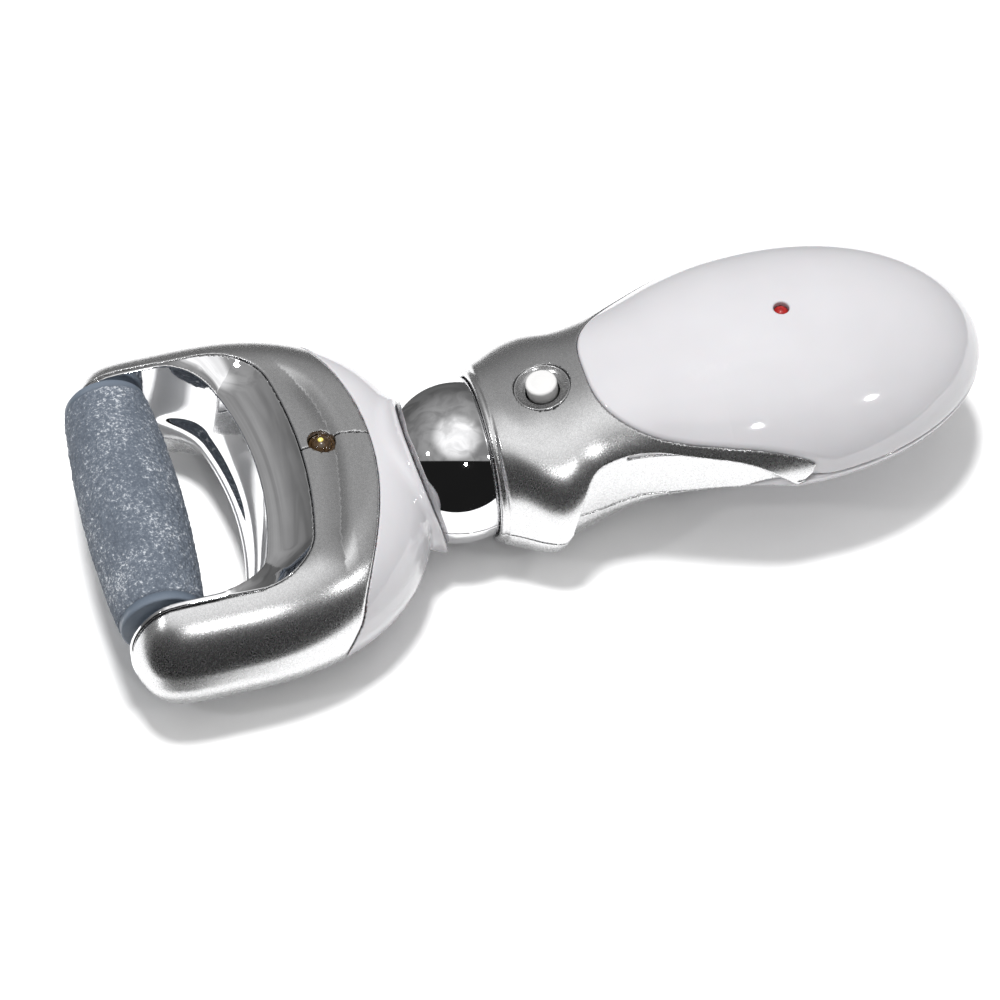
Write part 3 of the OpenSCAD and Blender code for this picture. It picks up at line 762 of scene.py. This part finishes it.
build("left_arm_cover", arm_cover(1), (HEAD_FRONT, -0.5, HEAD_LOW), (-16, HEAD_HALF_W, HEAD_TOP),
      "head", "silver_paint", SILVER)
build("right_arm_cover", arm_cover(-1), (HEAD_FRONT, -HEAD_HALF_W, HEAD_LOW), (-16, 3, HEAD_TOP),
      "head", "silver_paint", SILVER)
build("inner_bezel", bezel, (HEAD_FRONT, -BEZEL_HALF_W, -8), (BEZEL_BACK_X, BEZEL_HALF_W, HEAD_TOP),
      "head", "chrome", CHROME, step=FINE)
build("head_rear_shell", rear_shell, (-34, -HEAD_HALF_W, HEAD_LOW), (-3, HEAD_HALF_W, 15),
      "head", "white_plastic", WHITE)
build("ball_top_shell", ball_half(1), (-14, -BALL_R, BALL_SEAM_Z), (11, BALL_R, BALL_R),
      "handle", "chrome", CHROME)
build("ball_bottom_shell", ball_half(-1), (-14, -BALL_R, -BALL_R), (11, BALL_R, BALL_SEAM_Z),
      "handle", "chrome", CHROME)
build("collar_top_shell", collar_top, (4, -27.3, -7), (66, 27.3, 24.5),
      "handle", "silver_paint", SILVER, step=FINE)
build("collar_bottom_shell", panel(collar_bottom_region, SILVER_EDGE),
      (4, -27.5, -17.5), (64, 27.5, SEAM_Z + 0.5), "handle", "silver_paint", SILVER)
build("handle_top_dome", dome, (25, -DOME_HALF_W, SEAM_Z - 0.5), (TAIL_X, DOME_HALF_W, DOME_TOP),
      "handle", "white_plastic", WHITE, step=FINE)
build("handle_bottom_shell", panel(handle_bottom_region),
      (43, -DOME_HALF_W, -11), (TAIL_X, DOME_HALF_W, SEAM_Z + 0.5), "handle", "white_plastic", WHITE)


PLATE_LO, PLATE_HI = node_box("head_bottom_cover")
PLATE_X = -30.5
PLATE_HALF_X, PLATE_HALF_Y = 10.5, 21.5
PLATE_THICK = 1.15
PLATE_SCREW_X, PLATE_SCREW_Y, PLATE_SCREW_R = 7, 17.5, 2.3
RIB_PITCH = 3


def plate(x, y, z):
    """Bottom cover of the head: a flat plate with four screw seats and a ribbed patch."""
    low = PLATE_LO[2]
    flat = rounded_box_2d(x - PLATE_X, y, PLATE_HALF_X, PLATE_HALF_Y, 3)
    slab = round_max(flat, np.maximum(low - z, z - low - PLATE_THICK), 0.45)
    for side_x in (-1, 1):
        for side_y in (-1, 1):
            radius = np.hypot(x - PLATE_X + side_x * PLATE_SCREW_X, y + side_y * PLATE_SCREW_Y)
            slab = np.maximum(slab, -np.maximum(radius - PLATE_SCREW_R, low - 1 - z))
    rib = np.abs(np.mod(y + RIB_PITCH / 2, RIB_PITCH) - RIB_PITCH / 2) - 0.35
    patch = np.maximum(np.abs(y) - 12, z - low - 0.4)
    groove = np.maximum(np.maximum(rib, np.abs(x - PLATE_X) - 6), patch)
    return np.maximum(slab, -groove)


build("head_bottom_cover", plate, PLATE_LO, PLATE_HI, "head", "grey_plastic", GREY, step=0.3)


# ---------------------------------------------------------------- button, lamps
def arc(cx, cy, r, start, end, n=8):
    """Points on a circle in a (radius, height) profile, angles in degrees."""
    angles = np.radians(np.linspace(start, end, n))
    return [(cx + r * math.cos(a), cy + r * math.sin(a)) for a in angles]


# Profiles are (radius, height); a solid one starts and ends at ON_AXIS
ON_AXIS = 0.001

ring_profile = [(3.45, -2.1), (5.62, -2.1), (5.66, -0.3), *arc(5.44, 0.0, 0.22, 0, 150, 7),
                (5.0, -0.22), (4.3, -0.62), (3.7, -0.9), *arc(3.6, -1.1, 0.15, 80, 180, 5)]
button_ring = turned("button_ring", ring_profile, button_place, 160)
finish_piece(button_ring, "handle", "chrome", SILVER, "button_ring")

button_profile = [(ON_AXIS, -2.6), (3.05, -2.6), *arc(2.6, 1.35, 0.55, 0, 80, 8),
                  *arc(0, -8.4, 10.36, 75.6, 90, 8)[1:-1], (ON_AXIS, 1.96)]
power_button = turned("power_button", button_profile, button_place, 128, False)
finish_piece(power_button, "button", "white_plastic", MATTE_WHITE, "power_button")


def upright(x, y, z):
    """Puts a turned profile upright at a point."""
    return lambda local: local + (x, y, z)


charge_profile = [(ON_AXIS, -5), (1.45, -5), (1.45, -1.0), *arc(0, -2.0, 1.77, 35, 90, 8)[:-1],
                  (ON_AXIS, -0.23)]
charge_light = turned("charge_light", charge_profile, upright(CHARGE_X, 0, DOME_TOP - 0.25), 64, False)
finish_piece(charge_light, "handle", "red_lens", RED, "charge_light")

LAMP_Z = HEAD_TOP - 1.1
lens_profile = [(ON_AXIS, -2.6), (2.6, -2.6), (2.6, -0.5), *arc(0, -1.6, 2.45, 20, 90, 10)[:-1],
                (ON_AXIS, 0.85)]
head_light = turned("head_light", lens_profile, upright(LAMP_X, LAMP_Y, LAMP_Z), 96, False)
finish_piece(head_light, "head", "clear_lens", LENS, "head_light")

die_profile = [(ON_AXIS, -0.3), *arc(0.55, -0.1, 0.2, -80, 80, 6), *arc(0, -0.6, 1.0, 60, 90, 5)[:-1],
               (ON_AXIS, 0.4)]
die_spot = upright(LAMP_X - 0.1, LAMP_Y + 0.2, LAMP_Z + 0.62)
finish_piece(turned("head_light_die", die_profile, die_spot, 48, False), "head", "clear_lens", AMBER)


# ---------------------------------------------------------------- roller
ROLLER_MID_R = node_box("roller_sleeve")[1][2] - ROLLER_Z
ROLLER_HALF = node_box("roller_sleeve")[1][1]
ROLLER_END_R = 8.6


def roller_place(local):
    """Local axis Z becomes Y, round the roller's axis."""
    r0, r1, h = local.T
    return np.stack([ROLLER_X + r0, h, ROLLER_Z + r1], 1)


def lattice_noise(rows, columns, smoothing, seed):
    """Smoothed random field, periodic both ways, with values of unit spread."""
    white = np.random.default_rng(seed).standard_normal((rows, columns))
    fy, fx = np.fft.fftfreq(rows)[:, None], np.fft.fftfreq(columns)[None, :]
    keep = np.exp(-(fx * fx + fy * fy) * smoothing**2 * 2 * math.pi**2)
    field = np.fft.ifft2(np.fft.fft2(white) * keep).real
    return (field - field.mean()) / field.std()


def roller_sleeve():
    """Barrel-shaped abrasive sleeve with a gritty surface and closed ends."""
    along, around_count = ((330, 440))
    half = ROLLER_HALF
    y = np.linspace(-half, half, along)
    u = y / half
    radius = ROLLER_MID_R - 0.10 - (ROLLER_MID_R - ROLLER_END_R) * u * u
    radius = radius - 0.7 * np.clip((np.abs(y) - half + 0.7) / 0.7, 0, 1) ** 2
    coarse = lattice_noise(along, around_count, 2.4, 7)
    fine = lattice_noise(along, around_count, 1.0, 11)
    relief = 0.045 * coarse + 0.04 * fine
    angles = np.linspace(0, 2 * math.pi, around_count, endpoint=False)
    r = np.minimum(radius[:, None] + relief, ROLLER_MID_R)
    outer = np.stack([r * np.cos(angles), r * np.sin(angles), y[:, None] + 0 * r], -1)
    rings = [outer]
    for share, place in ((0.86, half), (0.8, half - 0.2)):
        ring = np.stack([share * ROLLER_END_R * np.cos(angles), share * ROLLER_END_R * np.sin(angles),
                         place + 0 * angles], -1)
        rings.append(ring[None])
        mirrored = ring * (1, 1, -1)
        rings.insert(0, mirrored[None])
    points = np.concatenate(rings).reshape(-1, 3)
    m = len(points) // around_count
    k = np.arange(around_count)
    after = (k + 1) % around_count
    faces = []
    for i in range(m - 1):
        a, b = i * around_count, (i + 1) * around_count
        faces.append(np.stack([a + k, a + after, b + after, b + k], 1))
    return mesh_object("roller_sleeve", roller_place(points), np.concatenate(faces)[:, ::-1])


finish_piece(roller_sleeve(), "roller", "mineral_roller", MINERAL, "roller_sleeve")


def cap_profile(side):
    """End cap with a rounded rim and a small boss round the shaft."""
    r = ROLLER_END_R - 0.35
    start = ROLLER_HALF - 0.3
    rim = arc(r - 0.5, ROLLER_HALF + 1.1, 0.5, 0, 90, 7)
    boss = [(4.6, ROLLER_HALF + 1.6), (4.5, ROLLER_HALF + 1.95), (2.1, ROLLER_HALF + 1.95)]
    return [(a, side * b) for a, b in [(2.1, start), (r, start), *rim, *boss]]


for side, end in ((1, "left"), (-1, "right")):
    cap = turned("roller_end_cap_" + end, cap_profile(side), roller_place, 160)
    finish_piece(cap, "roller", "roller_plastic", CAP_BLUE, "roller_end_caps")


# ---------------------------------------------------------------- charging socket
SOCKET_Z = 3.4
SOCKET_FACE = node_box("charging_socket")[1][0]
SOCKET_R = 2.7


def socket(x, y, z):
    """Round jack with a blind hole and a pin, facing the tail."""
    ring = np.hypot(y, z - SOCKET_Z)
    body = round_max(ring - SOCKET_R, np.maximum(94.6 - x, x - SOCKET_FACE), 0.35)
    hole = round_max(ring - 1.8, 96.5 - x, 0.3)
    pin = round_max(ring - 0.6, np.maximum(96 - x, x - SOCKET_FACE + 0.8), 0.2)
    return np.minimum(np.maximum(body, -hole), pin)


build("charging_socket", socket, (94, -2.8, SOCKET_Z - 2.8), (SOCKET_FACE, 2.8, SOCKET_Z + 2.8),
      "handle", "black_plastic", BLACK, step=0.25)


# ---------------------------------------------------------------- camera, floor, light
TILT = math.radians(52)       # camera looks down by this
TURN = math.radians(15.5)     # and is turned by this round the upright
right = Vector((math.cos(TURN), -math.sin(TURN), 0))
ahead = Vector((math.sin(TURN), math.cos(TURN), 0))
forward = math.cos(TILT) * ahead - math.sin(TILT) * Vector((0, 0, 1))
upward = math.sin(TILT) * ahead + math.cos(TILT) * Vector((0, 0, 1))
DISTANCE = 0.7
AIM_RIGHT, AIM_UP = -0.0086, 0.0078
camera_data = bpy.data.cameras.new("camera")
camera_data.lens = 126
camera_data.sensor_width = 36
camera_data.clip_start = 0.01
camera = bpy.data.objects.new("camera", camera_data)
bpy.context.scene.collection.objects.link(camera)
eye = Vector(BALL) - AIM_RIGHT * right - AIM_UP * upward - DISTANCE * forward
turn = Matrix((right, upward, -forward)).transposed().to_4x4()
camera.matrix_world = Matrix.Translation(eye) @ turn
bpy.context.scene.camera = camera


def stage_quad(name, corners, material):
    """A flat four-sided part of the stage."""
    mesh = bpy.data.meshes.new(name)
    mesh.from_pydata(corners, [], [tuple(range(len(corners)))])
    obj = bpy.data.objects.new(name, mesh)
    mesh.materials.append(material)
    bpy.context.scene.collection.objects.link(obj)
    return obj


def floor_material():
    n = Nodes("studio_floor")
    n.set(IOR=1.3)
    n.colour(n.ramp(n.noise(8, 1), (0.3, (0.965, 0.965, 0.965)), (0.7, (0.975, 0.975, 0.975))))
    n.rough(n.span(n.noise(20, 2), 0.3, 0.7, 0.8, 0.9))
    return n.material


FLOOR_Z = -0.0002
NEAR_EDGE, FAR_EDGE, SIDE_EDGE, REACH = -0.068, 0.13, 0.4, 1.5


def floor_part(name, left, right_side, near, far, mirrored):
    """Part of the floor, in metres along the camera's right and ahead."""
    sides = ((left, near), (right_side, near), (right_side, far), (left, far))
    corners = [a * right + b * ahead for a, b in sides]
    quad = stage_quad(name, [(c.x, c.y, FLOOR_Z) for c in corners], FLOOR)
    quad.visible_glossy = mirrored


# Only the sheet under the object shows in its reflections; the room beyond is dark
FLOOR = floor_material()
floor_part("floor_sheet", -SIDE_EDGE, SIDE_EDGE, NEAR_EDGE, FAR_EDGE, True)
floor_part("floor_near", -REACH, REACH, -REACH, NEAR_EDGE, False)
floor_part("floor_far", -REACH, REACH, FAR_EDGE, REACH, False)
floor_part("floor_left", -REACH, -SIDE_EDGE, NEAR_EDGE, FAR_EDGE, False)
floor_part("floor_right", SIDE_EDGE, REACH, NEAR_EDGE, FAR_EDGE, False)


def area_light(name, place, aim, size, power):
    """A round lamp at a place in metres, turned to its aim."""
    data = bpy.data.lights.new(name, "AREA")
    data.shape = "DISK"
    data.size = size
    data.energy = power
    obj = bpy.data.objects.new(name, data)
    obj.location = place
    obj.rotation_euler = (Vector(aim) - Vector(place)).to_track_quat("-Z", "Y").to_euler()
    bpy.context.scene.collection.objects.link(obj)
    return obj


key = area_light("roof_softbox", (-0.05, 0.12, 1.25), (0, 0, 0), 0.24, 17)
key.visible_glossy = False

# Three bulbs on the camera's side: swing from the camera's direction and height, in degrees
BULB_AWAY, BULB_SIZE, BULB_POWER = 1.1, 0.075, 1.1
for k, (swing, lift) in enumerate(((-62, 44), (17, 46), (62, 38))):
    a, up = math.radians(swing), math.radians(lift)
    side = math.sin(a) * right - math.cos(a) * ahead
    spot = BULB_AWAY * (math.cos(up) * side + math.sin(up) * Vector((0, 0, 1)))
    area_light("bulb_%d" % k, spot, (0, 0, 0.02), BULB_SIZE, BULB_POWER)


def tent_world():
    """A light tent for reflections: bright roof, dimmer walls, dark on the camera's side."""
    world = bpy.data.worlds.new("light_tent")
    world.use_nodes = True
    tree = world.node_tree
    back = tree.nodes["Background"]

    def node(kind, *inputs, **values):
        made = tree.nodes.new(kind)
        for key, value in values.items():
            setattr(made, key, value)
        for socket, value in zip(made.inputs, inputs):
            if isinstance(value, bpy.types.NodeSocket):
                tree.links.new(value, socket)
            elif value is not None:
                socket.default_value = value
        return made

    def ramp(value, low, high, to_low=0.0, to_high=1.0):
        made = node("ShaderNodeMapRange", value, low, high, to_low, to_high)
        made.interpolation_type = "SMOOTHSTEP"
        return made.outputs[0]

    def times(a, b):
        return node("ShaderNodeMath", a, b, operation="MULTIPLY").outputs[0]

    def plus(a, b):
        return node("ShaderNodeMath", a, b, operation="ADD").outputs[0]

    def rest(a):
        return node("ShaderNodeMath", 1.0, a, operation="SUBTRACT").outputs[0]

    direction = node("ShaderNodeTexCoord").outputs["Generated"]
    height = node("ShaderNodeSeparateXYZ", direction).outputs[2]

    def along(axis):
        """How far the direction points along an axis."""
        dot = node("ShaderNodeVectorMath", direction, tuple(axis), operation="DOT_PRODUCT")
        return dot.outputs["Value"]

    # The dark opening has a straight top edge and straight sides
    towards = along(-ahead)
    aside = node("ShaderNodeMath", along(right), operation="ABSOLUTE").outputs[0]
    lintel = plus(height, times(towards, -1.28))
    jamb = plus(aside, times(towards, -2.2))
    below_lintel = times(ramp(height, -1.0, -0.9), ramp(lintel, -0.03, 0.0, 1, 0))
    dark = times(ramp(jamb, -0.05, 0.0, 1, 0), below_lintel)

    folds = node("ShaderNodeTexNoise", direction)
    folds.inputs["Scale"].default_value = 2.2
    folds.inputs["Detail"].default_value = 3
    folds.inputs["Distortion"].default_value = 1.2
    wrinkle = ramp(folds.outputs["Fac"], 0.35, 0.65, 0.75, 1.15)

    overhead = (Vector((0, 0, 1)) - 0.08 * ahead).normalized()
    roof = ramp(along(overhead), 0.80, 0.97, 0, 0.75)
    wall = ramp(height, 0.1, 0.85, 0.12, 0.34)
    level = plus(times(times(wrinkle, plus(roof, wall)), rest(dark)), 0.012)

    # Seen directly, the surroundings are plain and pale like the floor
    seen = node("ShaderNodeLightPath").outputs["Is Camera Ray"]
    tree.links.new(plus(times(level, rest(seen)), seen), back.inputs["Color"])
    bpy.context.scene.world = world


tent_world()
bpy.context.scene.view_settings.view_transform = "Standard"
bpy.context.scene.view_settings.look = "None"
